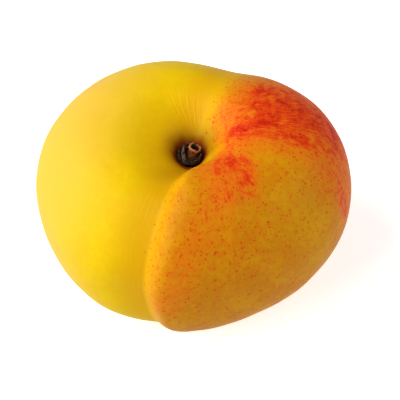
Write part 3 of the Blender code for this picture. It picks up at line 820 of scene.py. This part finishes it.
def dry_wood(name, dark, light, pale):
    """Dried-out woody tissue: dull, split along its fibres, pale where worn, and dark deep in a hollow
    with painted shade.
    """
    wood, tree = empty_material(name)
    grain = add(tree, "Attribute", output="Vector", attribute_name="fibres")
    worn = add(tree, "Attribute", output="Fac", attribute_name="worn")
    hollow_shade = add(tree, "Attribute", output="Fac", attribute_name="hollow_shade")
    # Bundles of fibres 0.15 mm wide, coarser than real so that they show, in patches about 1 mm across.
    fibre_noise = {"Vector": grain, "Scale": 6.0, "Detail": 4.0, "Roughness": 0.65, "Distortion": 0.4}
    fibres = add(tree, "TexNoise", fibre_noise)
    own = add(tree, "TexCoord", output="Object")
    place = add(tree, "Mapping", {"Vector": own, "Scale": IN_MILLIMETRES})
    blotches = add(tree, "TexNoise", {"Vector": place, "Scale": 0.9, "Detail": 2.0})
    streaked = add(tree, "Mix", {0: 0.35, 2: fibres, 3: blotches}, data_type="FLOAT")
    dried = add(tree, "MapRange", {0: streaked, 1: 0.42, 2: 0.58}, interpolation_type="SMOOTHSTEP")
    colour = add(tree, "Mix", {0: dried, 6: to_linear(dark), 7: to_linear(light)}, 2, data_type="RGBA")
    bleached = add(tree, "Math", {0: worn, 1: dried}, operation="MULTIPLY")
    colour = add(tree, "Mix", {0: bleached, 6: colour, 7: to_linear(pale)}, 2, data_type="RGBA")
    # Painted shade deep in the hollow.
    colour = add(tree, "Mix", {0: hollow_shade, 6: colour, 7: to_linear(PAINTED_HOLLOW_SHADE)}, 2, data_type="RGBA")
    bump = add(tree, "Bump", {"Strength": 0.6, "Distance": FIBRE_DEPTH * MM, "Height": fibres})
    roughness = add(tree, "MapRange", {0: fibres, 3: 0.85, 4: 0.6})
    surface = add(tree, "BsdfPrincipled", {"Base Color": colour, "Roughness": roughness,
                                           "Normal": bump, "Specular IOR Level": 0.25})
    add(tree, "OutputMaterial", {"Surface": surface})
    return wood


def white_paper():
    """Matt white paper that glows a little, so that the floor stays pale in the fruit's shadow."""
    paper, tree = empty_material("white_paper")
    surface = add(tree, "BsdfPrincipled", {
        "Base Color": to_linear(PAPER_WHITE), "Roughness": 0.9, "Specular IOR Level": 0.0,
        "Emission Color": (1.0, 1.0, 1.0, 1.0), "Emission Strength": FLOOR_GLOW,
    })
    add(tree, "OutputMaterial", {"Surface": surface})
    return paper


def lay_floor():
    """Pale floor under the fruit. Its light stays out of the fruit's shaded side."""
    bm = bmesh.new()
    bmesh.ops.create_grid(bm, x_segments=1, y_segments=1, size=0.5 * FLOOR_SIZE)
    mesh = bpy.data.meshes.new("floor")
    bm.to_mesh(mesh)
    bm.free()
    mesh.materials.append(white_paper())
    floor = bpy.data.objects.new("floor", mesh)
    floor.visible_diffuse = False
    floor.visible_glossy = False
    bpy.context.scene.collection.objects.link(floor)


def light_studio():
    """Broad soft light from the upper left, a weak fill, and a pale surround."""
    world = bpy.data.worlds.new("surround")
    world.use_nodes = True
    tree = world.node_tree
    tree.nodes.clear()
    way = add(tree, "TexCoord", output="Generated")
    height = add(tree, "SeparateXYZ", {0: way}, "Z")
    strength = add(tree, "MapRange", {0: height, 1: -HORIZON_BLUR, 2: HORIZON_BLUR,
                                      3: SURROUND_BELOW, 4: SURROUND_ABOVE})
    background = add(tree, "Background", {"Color": (1.0, 1.0, 1.0, 1.0), "Strength": strength})
    add(tree, "OutputWorld", {"Surface": background})
    bpy.context.scene.world = world

    for direction, width, power in SOFTBOXES:
        lamp = bpy.data.lights.new("softbox", "AREA")
        lamp.shape = "DISK"
        lamp.size = width
        lamp.energy = power
        softbox = bpy.data.objects.new("softbox", lamp)
        toward = Vector(direction).normalized()
        softbox.location = toward * SOFTBOX_DISTANCE
        softbox.rotation_euler = toward.to_track_quat("Z", "Y").to_euler()
        bpy.context.scene.collection.objects.link(softbox)


def place_camera(stalk_axis):
    """Long lens from above the front."""
    lens = bpy.data.cameras.new("camera")
    lens.lens = CAMERA_LENS
    lens.sensor_width = SENSOR_WIDTH
    lens.clip_start = 0.01
    camera = bpy.data.objects.new("camera", lens)
    rise = math.radians(CAMERA_ELEVATION)
    away = Vector((0.0, -math.cos(rise), math.sin(rise)))
    camera.location = stalk_axis + Vector(CAMERA_TARGET) * MM + away * CAMERA_DISTANCE * MM
    camera.rotation_euler = away.to_track_quat("Z", "Y").to_euler()
    bpy.context.scene.collection.objects.link(camera)
    bpy.context.scene.camera = camera


bpy.context.scene.view_settings.view_transform = "Standard"

fruit, stalk_axis = fruit_mesh()
piece("fruit_skin", fruit, nectarine_skin(), "fruit")

# Bark weathered almost black, wood laid bare and tanned where the stalk broke, and papery brown
# scales that are bleached where they are worn.
well_floor = Matrix.Translation(stalk_axis + Vector((0.0, 0.0, (WELL_FLOOR_HEIGHT - SETTLING) * MM)))
for name, mesh, finish in (
    ("stalk_knob", knob_mesh(), dry_wood("weathered_bark", *WEATHERED_BARK)),
    ("stalk_stub", stub_mesh(), dry_wood("broken_wood", *BROKEN_WOOD)),
    ("bud_scales", scales_mesh(), dry_wood("dry_bud_scale", *DRY_BUD_SCALE)),
):
    mesh.transform(well_floor)
    piece(name, mesh, finish, "stalk")

lay_floor()
light_studio()
place_camera(stalk_axis)
